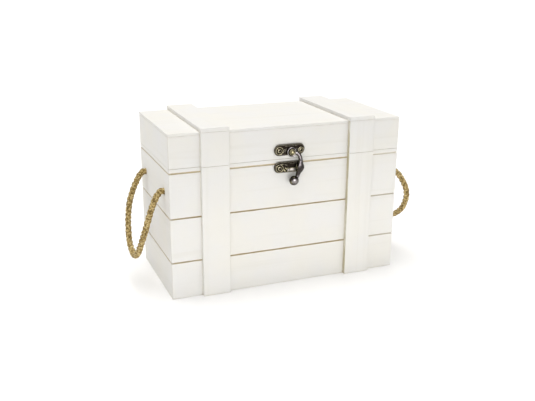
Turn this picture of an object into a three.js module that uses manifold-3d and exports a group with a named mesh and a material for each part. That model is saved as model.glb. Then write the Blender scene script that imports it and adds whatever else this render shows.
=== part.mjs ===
// A small painted plank chest: a box of planks, a hinged lid, a swing-hook latch and two rope handles.
// Millimetres. The origin is at the middle of the underside, X runs along the front, Y to the back, Z up.
import * as THREE from 'three';
import { mergeVertices } from 'three/addons/utils/BufferGeometryUtils.js';
import Module from 'manifold-3d';

// The box and its planks.
const LENGTH = 250;
const DEPTH = 119;
const WALL = 8;
const GAP = 0.3;
const WOOD_GAP = 0.1;
const BASE_TOP = 134.5;
const PLANK_EDGES = [0, 38.4, 84.2, BASE_TOP];
const PLANK_NAMES = ['lower', 'middle', 'upper'];
const GROOVE_WIDTH = 1.8;
const GROOVE_DEPTH = 0.9;
const RIM_GROOVE_Z = 129.9;
const BOTTOM_THICKNESS = 5;

// The lid.
const LID_BOTTOM = 134.7;
const LID_TOP = 168.4;
const PANEL_THICKNESS = 2.5;

// The flat battens that run up the front, over the lid and down the back.
const BATTEN_X = 79.25;
const BATTEN_WIDTH = 28.5;
const BATTEN_THICKNESS = 4;
const BATTEN_EASE = 0.5;

// The latch. The plates lie on the front, and the arm turns on a rivet in the upper one.
const PLATE = 0.9;
const RIM = 1.4;
const RIM_WIDTH = 1.1;
const LATCH_PLATE = { x: -0.95, z: 143.8, width: 33.3, height: 11.5 };
const CATCH_PLATE = { x: -1.5, z: 126.1, width: 32, height: 11.5 };
const PIVOT = { x: 1, z: 141.6 };
const EYE_RADIUS = 5;
const ARM_THICKNESS = 2.6;
const ARM_BOW = 2.1;
const ARM_ROUTE = [
  [1, 141.6], [5.2, 140.9], [8.5, 138], [9.8, 133.5],
  [9.6, 128], [8.5, 122.8], [6.9, 118.5], [3.4, 113.2],
];
const ARM_HALF_WIDTH = 2.15;
const SWELLING = { x: 9.6, z: 125.8, radius: 4.1 };
const KNOB = { x: 2.7, z: 112.5, radius: 4.85, halfDepth: 4.2 };
const HORN = { x0: -3.5, x1: 7.2, z: 123, radius: 2.6, height: 2.3 };
const RIVET_RADIUS = 1.5;
const RIVET_HEAD = 2.5;
const PLATE_SCREWS = [[-11.8, 143.3], [11.7, 142.4]];
const CATCH_SCREWS = [[-11.4, 125.1], [9.8, 125.1]];
const SCREW = { head: 2.1, height: 0.95, shank: 1, length: 6, slot: 0.45 };

// The two butt hinges on the back battens.
const HINGE_Z = (BASE_TOP + LID_BOTTOM) / 2;
const LEAF = { width: 18, thickness: 1, height: 12 };
const KNUCKLE_RADIUS = 1.7;
const PIN_RADIUS = 0.8;
const PIN_OVERHANG = 0.6;
const MIDDLE_KNUCKLE = 6;
const LEAF_SCREW_X = 5.4;
const LEAF_SCREW_Z = 7.2;
const LEAF_SCREW = { head: 1.8, shank: 0.9, sink: 0.8, length: 5 };

// The rope handles: a loop outside each end, and an end through each hole with a knot behind the plank.
// A loop's points run from its turning point by the hole to its lowest point: out, along and up.
const ROPE_RADIUS = 3;
const HOLE_RADIUS = 3.4;
const HOLE_Y = 38.5;
const HOLE_Z = 107.5;
const HANDLE_OFFSET = 3.5;
const KNOT = { radius: 9, length: 12, tail: 5 };
const LEFT_LOOP = [
  [9, 1.3, -14.5], [15.1, 1.9, -32], [19.2, -5.3, -51], [21.6, -19.5, -70], [21.8, -HOLE_Y, -77],
];
const RIGHT_LOOP = [
  [16.5, -1.5, -12.5], [26.5, -2, -32], [28.4, -12, -54], [25.5, -26.5, -66], [24.5, -HOLE_Y, -69.5],
];

const WOOD = { color: 0xf0ede4, roughness: 0.6, metalness: 0 };
const ROPE = { color: 0xb9996b, roughness: 0.95, metalness: 0 };
const BRONZE = { color: 0x5a4a35, roughness: 0.4, metalness: 0.9 };

const ARC_SEGMENTS = 6;
const ROUND_SEGMENTS = 16;

const FRONT = -DEPTH / 2;
const BATTEN_FACE = DEPTH / 2 + BATTEN_THICKNESS;

const wasm = await Module();
wasm.setup();

const chest = new THREE.Group();

// A closed three.js geometry as a solid that can be cut and joined.
function toSolid(geometry, matrix = new THREE.Matrix4()) {
  const bare = geometry.clone().applyMatrix4(matrix);
  bare.deleteAttribute('normal');
  bare.deleteAttribute('uv');
  const merged = mergeVertices(bare, 1e-4);
  const triangles = [];
  for (let i = 0; i < merged.index.count; i += 3) {
    const [a, b, c] = [0, 1, 2].map((k) => merged.index.getX(i + k));
    if (a !== b && b !== c && c !== a) triangles.push(a, b, c);
  }
  const vertProperties = new Float32Array(merged.attributes.position.array);
  const triVerts = new Uint32Array(triangles);
  return new wasm.Manifold(new wasm.Mesh({ numProp: 3, vertProperties, triVerts }));
}

function toGeometry(solid) {
  const mesh = solid.getMesh();
  const geometry = new THREE.BufferGeometry();
  geometry.setAttribute('position', new THREE.BufferAttribute(mesh.vertProperties, 3));
  geometry.setIndex(new THREE.BufferAttribute(mesh.triVerts, 1));
  geometry.computeVertexNormals();
  return geometry;
}

function addPiece(name, solid, look, group = chest) {
  const mesh = new THREE.Mesh(toGeometry(solid), new THREE.MeshStandardMaterial(look));
  mesh.name = name;
  group.add(mesh);
}

function polygon(points) {
  return new THREE.Shape(points.map(([u, v]) => new THREE.Vector2(u, v)));
}

const X = new THREE.Vector3(1, 0, 0);
const Y = new THREE.Vector3(0, 1, 0);
const Z = new THREE.Vector3(0, 0, 1);
const ALONG_X = new THREE.Matrix4().makeBasis(Y, Z, X);
const OUT_OF_FRONT = new THREE.Matrix4().makeBasis(X, Z, Y.clone().negate());

function extrude(shape, depth, matrix = new THREE.Matrix4()) {
  const options = { depth, bevelEnabled: false, curveSegments: ARC_SEGMENTS };
  const geometry = new THREE.ExtrudeGeometry(shape, options);
  return toSolid(geometry, matrix);
}

// A (y, z) outline drawn out along X, centred.
function alongX(points, length) {
  return extrude(polygon(points), length, ALONG_X).translate([-length / 2, 0, 0]);
}

// An (x, z) outline drawn out of the front, from y = back towards the viewer.
function outOfFront(shape, back, depth) {
  return extrude(shape, depth, OUT_OF_FRONT).translate([0, back, 0]);
}

function box(x0, x1, y0, y1, z0, z1) {
  const geometry = new THREE.BoxGeometry(x1 - x0, y1 - y0, z1 - z0);
  return toSolid(geometry).translate([(x0 + x1) / 2, (y0 + y1) / 2, (z0 + z1) / 2]);
}

// A turned solid from a (radius, height) profile that starts and ends on the axis, standing along +Y.
function turned(profile, segments = ROUND_SEGMENTS) {
  const points = profile.map(([r, h]) => new THREE.Vector2(r, h));
  return toSolid(new THREE.LatheGeometry(points, segments));
}

function rod(radius, length, segments = ROUND_SEGMENTS) {
  return turned([[0, 0], [radius, 0], [radius, length], [0, length]], segments);
}

// A rod along X, centred at the point.
function rodAlongX(radius, x0, x1, y, z) {
  return rod(radius, x1 - x0, 24).rotate([0, 0, -90]).translate([x0, y, z]);
}

function dome(radius, height) {
  const steps = 4;
  const profile = [[0, 0]];
  for (let i = 0; i <= steps; i += 1) {
    const turn = (i / steps) * (Math.PI / 2);
    profile.push([i === steps ? 0 : radius * Math.cos(turn), height * Math.sin(turn)]);
  }
  return turned(profile);
}

// A ball, flattened along Y.
function ball(radius, halfDepth) {
  const steps = 8;
  const profile = [];
  for (let i = 0; i <= steps; i += 1) {
    const turn = (i / steps) * Math.PI;
    profile.push([i % steps ? radius * Math.sin(turn) : 0, -halfDepth * Math.cos(turn)]);
  }
  return turned(profile, 24);
}

function stadium(plate, inset) {
  const r = plate.height / 2 - inset;
  const reach = plate.width / 2 - plate.height / 2;
  const shape = new THREE.Shape();
  shape.absarc(plate.x + reach, plate.z, r, -Math.PI / 2, Math.PI / 2, false);
  shape.absarc(plate.x - reach, plate.z, r, Math.PI / 2, (3 * Math.PI) / 2, false);
  return shape;
}

// Sides of the box. A board is made as the front one and its group turns it to its side.
const SIDES = [
  { name: 'front', turn: 0, x: 0, y: -DEPTH / 2, length: LENGTH },
  { name: 'right', turn: Math.PI / 2, x: LENGTH / 2, y: 0, length: DEPTH },
  { name: 'back', turn: Math.PI, x: 0, y: DEPTH / 2, length: LENGTH },
  { name: 'left', turn: -Math.PI / 2, x: -LENGTH / 2, y: 0, length: DEPTH },
];

function sideGroup(side) {
  const group = new THREE.Group();
  group.rotation.z = side.turn;
  group.position.set(side.x, side.y, 0);
  chest.add(group);
  return group;
}

// A mitred board whose outer face lies at y = 0, from its (y, z) section.
function mitredBoard(section, length, z0, z1) {
  const outer = length / 2 - WOOD_GAP;
  const inner = outer - WALL;
  const plan = polygon([[-outer, 0], [outer, 0], [inner, WALL], [-inner, WALL]]);
  const mitre = extrude(plan, z1 - z0).translate([0, 0, z0]);
  return alongX(section, length).intersect(mitre);
}

// A plank's section: long edges eased towards its neighbours, and the top one has a groove under its rim.
function plankSection(level) {
  const z0 = PLANK_EDGES[level] + (level > 0 ? WOOD_GAP / 2 : 0);
  const z1 = PLANK_EDGES[level + 1] - (level < 2 ? WOOD_GAP / 2 : 0);
  const ease = (GROOVE_WIDTH - WOOD_GAP) / 2;
  const section = [[WALL, z0], [WALL, z1]];
  if (level < 2) {
    section.push([GROOVE_DEPTH, z1], [0, z1 - ease]);
  } else {
    section.push([0, z1], [0, RIM_GROOVE_Z + GROOVE_WIDTH / 2]);
    section.push([GROOVE_DEPTH, RIM_GROOVE_Z], [0, RIM_GROOVE_Z - GROOVE_WIDTH / 2]);
  }
  if (level > 0) {
    section.push([0, z0 + ease], [GROOVE_DEPTH, z0]);
  } else {
    section.push([0, z0]);
  }
  return { section: section.reverse(), z0, z1 };
}

// A hole for a screw driven into the front face, in the front board's own frame.
function screwHole(x, z) {
  return rod(SCREW.shank + GAP, SCREW.length + 2, 8).translate([x, -1, z]);
}

function ropeHole(x) {
  return rod(HOLE_RADIUS, WALL + 2).translate([x, -1, HOLE_Z]);
}

function addPlanks() {
  for (const side of SIDES) {
    const group = sideGroup(side);
    PLANK_NAMES.forEach((level, i) => {
      const { section, z0, z1 } = plankSection(i);
      let plank = mitredBoard(section, side.length, z0, z1);
      if (level === 'upper' && side.name === 'front') {
        for (const [x, z] of CATCH_SCREWS) plank = plank.subtract(screwHole(x, z));
      }
      if (level === 'upper' && side.length === DEPTH) {
        plank = plank.subtract(ropeHole(-HOLE_Y)).subtract(ropeHole(HOLE_Y));
      }
      addPiece(`${side.name}_${level}_plank`, plank, WOOD, group);
    });
  }
}

function addLidBoards() {
  const z1 = LID_TOP - PANEL_THICKNESS - WOOD_GAP;
  const section = [[0, LID_BOTTOM], [WALL, LID_BOTTOM], [WALL, z1], [0, z1]];
  for (const side of SIDES) {
    let board = mitredBoard(section, side.length, LID_BOTTOM, z1);
    if (side.name === 'front') {
      for (const [x, z] of PLATE_SCREWS) board = board.subtract(screwHole(x, z));
    }
    addPiece(`lid_${side.name}_board`, board, WOOD, sideGroup(side));
  }
}

function addPanels() {
  const x = LENGTH / 2 - WALL - WOOD_GAP;
  const y = DEPTH / 2 - WALL - WOOD_GAP;
  addPiece('bottom_panel', box(-x, x, -y, y, 0, BOTTOM_THICKNESS), WOOD);
  const lidPanel = box(-LENGTH / 2, LENGTH / 2, -DEPTH / 2, DEPTH / 2, LID_TOP - PANEL_THICKNESS, LID_TOP);
  addPiece('lid_panel', lidPanel, WOOD);
}

// A batten's section across its width, face at the top, with its two outer edges eased.
function battenSection(thickness) {
  const w = BATTEN_WIDTH / 2;
  const e = BATTEN_EASE;
  const half = [[w, 0], [w, thickness - e], [w - e, thickness]];
  const mirrored = half.map(([x, y]) => [-x, y]).reverse();
  return polygon([...half, ...mirrored]);
}

function leafScrewHoles(x, z) {
  const cut = rod(LEAF_SCREW.shank + GAP, LEAF_SCREW.length + 1, 8).rotate([180, 0, 0]);
  return [-LEAF_SCREW_X, LEAF_SCREW_X].map((dx) => cut.translate([x + dx, BATTEN_FACE + 1, z]));
}

function addUprightBattens(where, z0, z1, leafZ) {
  const thickness = BATTEN_THICKNESS - WOOD_GAP;
  const standing = extrude(battenSection(thickness), z1 - z0);
  for (const [side, x] of [['left', -BATTEN_X], ['right', BATTEN_X]]) {
    const front = standing.rotate([0, 0, 180]).translate([x, FRONT - WOOD_GAP, z0]);
    addPiece(`${where}_front_batten_${side}`, front, WOOD);
    let back = standing.translate([x, -FRONT + WOOD_GAP, z0]);
    for (const hole of leafScrewHoles(x, leafZ)) back = back.subtract(hole);
    addPiece(`${where}_back_batten_${side}`, back, WOOD);
  }
}

function addTopBattens() {
  const lying = extrude(battenSection(BATTEN_THICKNESS - WOOD_GAP), 2 * BATTEN_FACE).rotate([90, 0, 0]);
  for (const [side, x] of [['left', -BATTEN_X], ['right', BATTEN_X]]) {
    addPiece(`lid_top_batten_${side}`, lying.translate([x, BATTEN_FACE, LID_TOP + WOOD_GAP]), WOOD);
  }
}

// A plate with a raised rim, and a raised ring round each screw.
function rimmedPlate(plate, screws) {
  const back = FRONT - GAP;
  const rim = stadium(plate, 0);
  rim.holes.push(stadium(plate, RIM_WIDTH));
  let solid = outOfFront(stadium(plate, 0), back, PLATE).add(outOfFront(rim, back, RIM));
  for (const [x, z] of screws) {
    const hole = rod(SCREW.shank + GAP, 10, 8).translate([x, back - 5, z]);
    solid = solid.subtract(hole);
  }
  return solid;
}

function addPlateScrew(name, x, z) {
  const under = FRONT - GAP - PLATE - GAP;
  const head = dome(SCREW.head, SCREW.height).rotate([180, 0, 0]);
  const shank = rod(SCREW.shank, SCREW.length + 0.5, 8).translate([0, -0.5, 0]);
  const slot = box(-SCREW.head, SCREW.head, -2, -SCREW.height + SCREW.slot, -0.25, 0.25);
  addPiece(name, head.add(shank).subtract(slot).translate([x, under, z]), BRONZE);
}

// The arm is a ribbon of even width along its route, with a round swelling where it passes the horn.
function armOutline() {
  const line = new THREE.SplineCurve(ARM_ROUTE.map(([x, z]) => new THREE.Vector2(x, z)));
  const steps = 24;
  const left = [];
  const right = [];
  for (let i = 0; i <= steps; i += 1) {
    const p = line.getPoint(i / steps);
    const t = line.getTangent(i / steps);
    left.push([p.x - t.y * ARM_HALF_WIDTH, p.y + t.x * ARM_HALF_WIDTH]);
    right.push([p.x + t.y * ARM_HALF_WIDTH, p.y - t.x * ARM_HALF_WIDTH]);
  }
  return polygon([...left, ...right.reverse()]);
}

// How far the arm stands forward at a height: flat at the eye, and bowed out past the screw and the horn.
function bow(z) {
  return -ARM_BOW * THREE.MathUtils.smoothstep(PIVOT.z - z, 1, 6.5);
}

function latchArm() {
  const back = FRONT - GAP - RIM - GAP;
  const eye = rod(EYE_RADIUS, ARM_THICKNESS, 32).translate([PIVOT.x, back - ARM_THICKNESS, PIVOT.z]);
  const flat = new THREE.ExtrudeGeometry(armOutline(), { depth: ARM_THICKNESS, bevelEnabled: false });
  flat.applyMatrix4(OUT_OF_FRONT);
  flat.translate(0, back, 0);
  const at = flat.attributes.position;
  for (let i = 0; i < at.count; i += 1) at.setY(i, at.getY(i) + bow(at.getZ(i)));
  const outer = back - ARM_BOW - ARM_THICKNESS;
  const swelling = rod(SWELLING.radius, ARM_THICKNESS, 32).translate([SWELLING.x, outer, SWELLING.z]);
  const knob = ball(KNOB.radius, KNOB.halfDepth).translate([KNOB.x, outer + ARM_THICKNESS / 2, KNOB.z]);
  const hole = rod(RIVET_RADIUS + GAP, 20).translate([PIVOT.x, back - 10, PIVOT.z]);
  return toSolid(flat).add(knob).add(swelling).add(eye).subtract(hole);
}

// The horn that the arm swings down over: a rounded half bar, standing out of the catch plate.
function horn() {
  const steps = 4;
  const profile = [];
  for (let i = 0; i <= steps; i += 1) {
    const turn = (i / steps) * (Math.PI / 2);
    profile.push([HORN.radius * Math.sin(turn), HORN.radius * (1 - Math.cos(turn))]);
  }
  profile[0][0] = 0;
  const length = HORN.x1 - HORN.x0;
  for (const [r, h] of profile.slice().reverse()) profile.push([r, length - h]);
  profile[profile.length - 1][0] = 0;
  const bar = turned(profile).rotate([0, 0, -90]).scale([1, HORN.height / HORN.radius, 1]);
  const front = FRONT - GAP - PLATE;
  const keep = box(HORN.x0 - 1, HORN.x1 + 1, front - 10, front + 0.3, HORN.z - 10, HORN.z + 10);
  return bar.translate([HORN.x0, front, HORN.z]).intersect(keep);
}

function addLatch() {
  const rivetHole = rod(RIVET_RADIUS + GAP, 10).translate([PIVOT.x, FRONT - 5, PIVOT.z]);
  addPiece('latch_plate', rimmedPlate(LATCH_PLATE, PLATE_SCREWS).subtract(rivetHole), BRONZE);
  addPiece('catch_plate', rimmedPlate(CATCH_PLATE, CATCH_SCREWS).add(horn()), BRONZE);
  ['left', 'right'].forEach((side, i) => {
    addPlateScrew(`latch_screw_${side}`, ...PLATE_SCREWS[i]);
    addPlateScrew(`catch_screw_${side}`, ...CATCH_SCREWS[i]);
  });
  addPiece('latch_arm', latchArm(), BRONZE);
  const eyeFront = FRONT - GAP - RIM - GAP - ARM_THICKNESS - GAP;
  const head = dome(RIVET_HEAD, 1.4).rotate([180, 0, 0]).translate([PIVOT.x, eyeFront, PIVOT.z]);
  const shankEnd = FRONT - GAP;
  const shank = rod(RIVET_RADIUS, shankEnd - eyeFront + 0.3).translate([PIVOT.x, eyeFront - 0.3, PIVOT.z]);
  addPiece('latch_rivet', head.add(shank), BRONZE);
}

// A hinge leaf flat on a back batten, going down (way = -1) or up (way = 1) from the pin.
function hingeLeaf(x, way, knuckles) {
  const y0 = BATTEN_FACE + GAP;
  const pinY = y0 + KNUCKLE_RADIUS;
  const near = HINGE_Z + way * (KNUCKLE_RADIUS + GAP);
  const far = HINGE_Z + way * LEAF.height;
  const half = LEAF.width / 2;
  const flat = (x0, x1, za, zb) => box(x0, x1, y0, y0 + LEAF.thickness, Math.min(za, zb), Math.max(za, zb));
  let leaf = flat(x - half, x + half, near, far);
  for (const [a, b] of knuckles) {
    leaf = leaf.add(rodAlongX(KNUCKLE_RADIUS, x + a, x + b, pinY, HINGE_Z));
    leaf = leaf.add(flat(x + a, x + b, HINGE_Z, near));
  }
  leaf = leaf.subtract(rodAlongX(PIN_RADIUS + GAP, x - half - 1, x + half + 1, pinY, HINGE_Z));
  const wide = LEAF_SCREW.head + GAP;
  const narrow = LEAF_SCREW.shank + GAP;
  const sinkProfile = [[0, -1], [wide, -1], [wide, 0], [narrow, LEAF_SCREW.sink], [narrow, 4], [0, 4]];
  const sink = turned(sinkProfile, 8).rotate([180, 0, 0]);
  for (const dx of [-LEAF_SCREW_X, LEAF_SCREW_X]) {
    leaf = leaf.subtract(sink.translate([x + dx, y0 + LEAF.thickness, HINGE_Z + way * LEAF_SCREW_Z]));
  }
  return leaf;
}

function leafScrew(x, z) {
  const { head, shank, sink, length } = LEAF_SCREW;
  const profile = [[0, 0], [head, 0], [shank, sink], [shank, length], [0, length]];
  const slot = box(-head, head, -1, 0.35, -0.2, 0.2);
  const screw = turned(profile, 8).subtract(slot).rotate([180, 0, 0]);
  return screw.translate([x, BATTEN_FACE + GAP + LEAF.thickness, z]);
}

function addHinges() {
  const half = LEAF.width / 2;
  const inner = MIDDLE_KNUCKLE / 2;
  for (const [side, x] of [['left', -BATTEN_X], ['right', BATTEN_X]]) {
    const outerKnuckles = [[-half, -inner - GAP / 2], [inner + GAP / 2, half]];
    addPiece(`hinge_${side}_base_leaf`, hingeLeaf(x, -1, outerKnuckles), BRONZE);
    addPiece(`hinge_${side}_lid_leaf`, hingeLeaf(x, 1, [[-inner + GAP / 2, inner - GAP / 2]]), BRONZE);
    const pinY = BATTEN_FACE + GAP + KNUCKLE_RADIUS;
    const pin = rodAlongX(PIN_RADIUS, x - half - PIN_OVERHANG, x + half + PIN_OVERHANG, pinY, HINGE_Z);
    addPiece(`hinge_${side}_pin`, pin, BRONZE);
    for (const [part, way] of [['base', -1], ['lid', 1]]) {
      [-LEAF_SCREW_X, LEAF_SCREW_X].forEach((dx, i) => {
        const name = `hinge_${side}_${part}_screw_${i + 1}`;
        addPiece(name, leafScrew(x + dx, HINGE_Z + way * LEAF_SCREW_Z), BRONZE);
      });
    }
  }
}

// The loop hangs between the two holes of one end. Its route is given from the hole mouth outwards.
function ropeLoop(way, route) {
  const startX = LENGTH / 2 + HANDLE_OFFSET;
  const half = [[0, 0, 0], ...route].map(([out, y, up]) => [way * (startX + out), HOLE_Y + y, HOLE_Z + up]);
  const other = half.slice(0, -1).reverse().map(([x, y, z]) => [x, -y, z]);
  const points = [...half, ...other].map((p) => new THREE.Vector3(...p));
  const line = new THREE.CatmullRomCurve3(points, false, 'centripetal');
  const section = new THREE.Shape().absarc(0, 0, ROPE_RADIUS, 0, 2 * Math.PI, false);
  const steps = 2 * Math.round(line.getLength() / (6 * ROPE_RADIUS));
  return toSolid(new THREE.ExtrudeGeometry(section, { extrudePath: line, steps, curveSegments: 5 }));
}

// A rope end: a straight stub through the plank, a bulky knot behind it and a short tail.
function ropeEnd(way, y) {
  const stub = WALL + GAP;
  const shoulder = KNOT.length / 2;
  const profile = [[0, 0], [ROPE_RADIUS, 0], [ROPE_RADIUS, stub]];
  const steps = 8;
  for (let i = 1; i < steps; i += 1) {
    const turn = (i / steps) * Math.PI;
    const swell = (KNOT.radius - ROPE_RADIUS) * Math.sin(turn) ** 0.6;
    profile.push([ROPE_RADIUS + swell, stub + shoulder * (1 - Math.cos(turn))]);
  }
  profile.push([ROPE_RADIUS, stub + KNOT.length], [ROPE_RADIUS, stub + KNOT.length + KNOT.tail]);
  profile.push([0, stub + KNOT.length + KNOT.tail]);
  return turned(profile, 12).rotate([0, 0, 90 * way]).translate([way * LENGTH / 2, y, HOLE_Z]);
}

function addRopes() {
  for (const [side, way, route] of [['left', -1, LEFT_LOOP], ['right', 1, RIGHT_LOOP]]) {
    addPiece(`rope_handle_${side}`, ropeLoop(way, route), ROPE);
    addPiece(`rope_end_${side}_front`, ropeEnd(way, -HOLE_Y), ROPE);
    addPiece(`rope_end_${side}_back`, ropeEnd(way, HOLE_Y), ROPE);
  }
}

addPlanks();
addPanels();
addLidBoards();
addUprightBattens('base', 0, BASE_TOP, HINGE_Z - LEAF_SCREW_Z);
addUprightBattens('lid', LID_BOTTOM, LID_TOP, HINGE_Z + LEAF_SCREW_Z);
addTopBattens();
addLatch();
addHinges();
addRopes();

export default chest;
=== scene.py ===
"""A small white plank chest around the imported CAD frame.

It has battens, a swing-hook latch, two back hinges and rope handles.
"""

import math

import bmesh
import bpy
import numpy as np
from mathutils import Matrix, Vector


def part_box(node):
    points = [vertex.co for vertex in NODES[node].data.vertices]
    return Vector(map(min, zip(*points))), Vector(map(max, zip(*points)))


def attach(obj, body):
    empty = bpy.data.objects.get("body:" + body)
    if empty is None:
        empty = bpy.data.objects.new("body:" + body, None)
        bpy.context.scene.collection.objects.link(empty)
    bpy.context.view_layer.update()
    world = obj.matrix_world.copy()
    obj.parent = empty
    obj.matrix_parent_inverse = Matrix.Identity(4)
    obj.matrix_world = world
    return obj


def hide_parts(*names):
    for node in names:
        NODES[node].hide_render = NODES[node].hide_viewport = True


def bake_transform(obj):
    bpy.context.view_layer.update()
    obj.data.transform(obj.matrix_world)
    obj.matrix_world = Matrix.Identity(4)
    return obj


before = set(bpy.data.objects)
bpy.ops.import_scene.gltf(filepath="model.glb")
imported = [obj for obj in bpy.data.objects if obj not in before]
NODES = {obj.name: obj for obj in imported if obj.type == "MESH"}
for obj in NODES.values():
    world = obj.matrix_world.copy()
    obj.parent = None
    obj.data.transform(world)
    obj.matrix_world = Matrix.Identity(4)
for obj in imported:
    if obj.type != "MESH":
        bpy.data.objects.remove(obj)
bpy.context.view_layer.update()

MM = 0.001

# The chest's planes, from the CAD.
LID_LOW, LID_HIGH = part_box("lid_panel")
HALF_LENGTH, HALF_DEPTH, _ = LID_HIGH
WALL = 8 * MM
INNER_X = HALF_LENGTH - WALL
INNER_Y = HALF_DEPTH - WALL
GROOVE_HEIGHTS = (38.4 * MM, 84.2 * MM, 129.9 * MM)
GROOVE_HALF = 0.9 * MM

# The camera stands in front of the chest, to its left and above it.
CAMERA_PLACE = Vector((-0.29069, -0.71736, 0.32207))
CAMERA_AZIMUTH = math.radians(-22.0825)
CAMERA_ELEVATION = math.radians(17.9066)
CAMERA_ROLL = math.radians(0.4468)
CAMERA_LENS = 49.685

# The ropes, with the same routes as the CAD loops: out from the hole, along and up, in millimetres.
ROPE_DIAMETER = 6 * MM
HOLE_Y = 38.5 * MM
HOLE_Z = 107.5 * MM
HANDLE_OFFSET = 3.5 * MM
ROPE_INSIDE = 14 * MM
LEFT_LOOP = ((9, 1.3, -14.5), (15.1, 1.9, -32), (19.2, -5.3, -51), (21.6, -19.5, -70), (21.8, -38.5, -77))
RIGHT_LOOP = (
    (16.5, -1.5, -12.5), (26.5, -2, -32), (28.4, -12, -54), (25.5, -26.5, -66), (24.5, -38.5, -69.5),
)
LAY_LENGTH = 17 * MM
STRAND_RADIUS = 0.295 * ROPE_DIAMETER
STRAND_OFFSET = 0.265 * ROPE_DIAMETER
STRAND_SIDES = 14
YARNS_IN_A_STRAND = 4
YARN_TURN = 0.42 * LAY_LENGTH
FUZZ_PER_METRE = 1300
FIBRE_RADIUS = 0.045 * MM


# ---- camera -------------------------------------------------------------------------------------


def make_camera():
    a, e = CAMERA_AZIMUTH, CAMERA_ELEVATION
    back = Vector((math.sin(a) * math.cos(e), -math.cos(a) * math.cos(e), math.sin(e)))
    right = Vector((0, 0, 1)).cross(back).normalized()
    up = back.cross(right)
    roll = Matrix.Rotation(CAMERA_ROLL, 3, back)
    turned = Matrix((roll @ right, roll @ up, back)).transposed()
    data = bpy.data.cameras.new("camera")
    data.sensor_width = 36
    data.lens = CAMERA_LENS
    data.clip_start = 0.01
    camera = bpy.data.objects.new("camera", data)
    camera.matrix_world = Matrix.Translation(CAMERA_PLACE) @ turned.to_4x4()
    bpy.context.collection.objects.link(camera)
    bpy.context.scene.camera = camera


# ---- mesh helpers -------------------------------------------------------------------------------


def new_object(name, vertices, faces, material, smooth=True):
    mesh = bpy.data.meshes.new(name)
    mesh.from_pydata([tuple(v) for v in vertices], [], [tuple(f) for f in faces])
    mesh.update()
    mesh.polygons.foreach_set("use_smooth", [smooth] * len(mesh.polygons))
    mesh.materials.append(material)
    piece = bpy.data.objects.new(name, mesh)
    bpy.context.collection.objects.link(piece)
    return piece


def unit(v):
    return v / np.maximum(np.linalg.norm(v, axis=-1, keepdims=True), 1e-12)


def smooth_line(points, spacing):
    """Evenly spaced points on the centripetal Catmull-Rom curve through the given points."""
    p = np.array(points, float)
    p = np.vstack([2 * p[0] - p[1], p, 2 * p[-1] - p[-2]])
    fine = [p[1]]
    for a, b, c, d in zip(p, p[1:], p[2:], p[3:]):
        knots = np.cumsum([0, *(np.linalg.norm(v) ** 0.5 for v in (b - a, c - b, d - c))])
        for t in np.linspace(knots[1], knots[2], 33)[1:]:
            level = [a, b, c, d]
            for span in (1, 2, 3):
                level = [
                    level[i] + (level[i + 1] - level[i]) * (t - knots[i]) / (knots[i + span] - knots[i])
                    for i in range(len(level) - 1)
                ]
            fine.append(level[0])
    return evenly(np.array(fine), spacing)


def evenly(line, spacing):
    along = np.concatenate([[0], np.cumsum(np.linalg.norm(np.diff(line, axis=0), axis=1))])
    at = np.linspace(0, along[-1], int(round(along[-1] / spacing)) + 1)
    return np.stack([np.interp(at, along, line[:, k]) for k in range(3)], axis=1)


def carried_frames(line):
    """Unit tangents, and two normals that turn as little as they can along the line."""
    tangents = unit(np.gradient(line, axis=0))
    first = np.array([0.0, 0.0, 1.0]) if abs(tangents[0][2]) < 0.9 else np.array([0.0, 1.0, 0.0])
    normal = unit(first - tangents[0] * first.dot(tangents[0]))
    normals = []
    for t in tangents:
        normal = unit(normal - t * normal.dot(t))
        normals.append(normal)
    normals = np.array(normals)
    return tangents, normals, np.cross(tangents, normals)


def middle_of(node):
    low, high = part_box(node)
    return (low + high) / 2


def tube_faces(rings, sides, start=0):
    faces = []
    for i in range(rings - 1):
        for j in range(sides):
            a = start + i * sides + j
            b = start + i * sides + (j + 1) % sides
            faces.append((a, b, b + sides, a + sides))
    faces.append(tuple(start + j for j in reversed(range(sides))))
    faces.append(tuple(start + (rings - 1) * sides + j for j in range(sides)))
    return faces


# ---- rope ---------------------------------------------------------------------------------------


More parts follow.
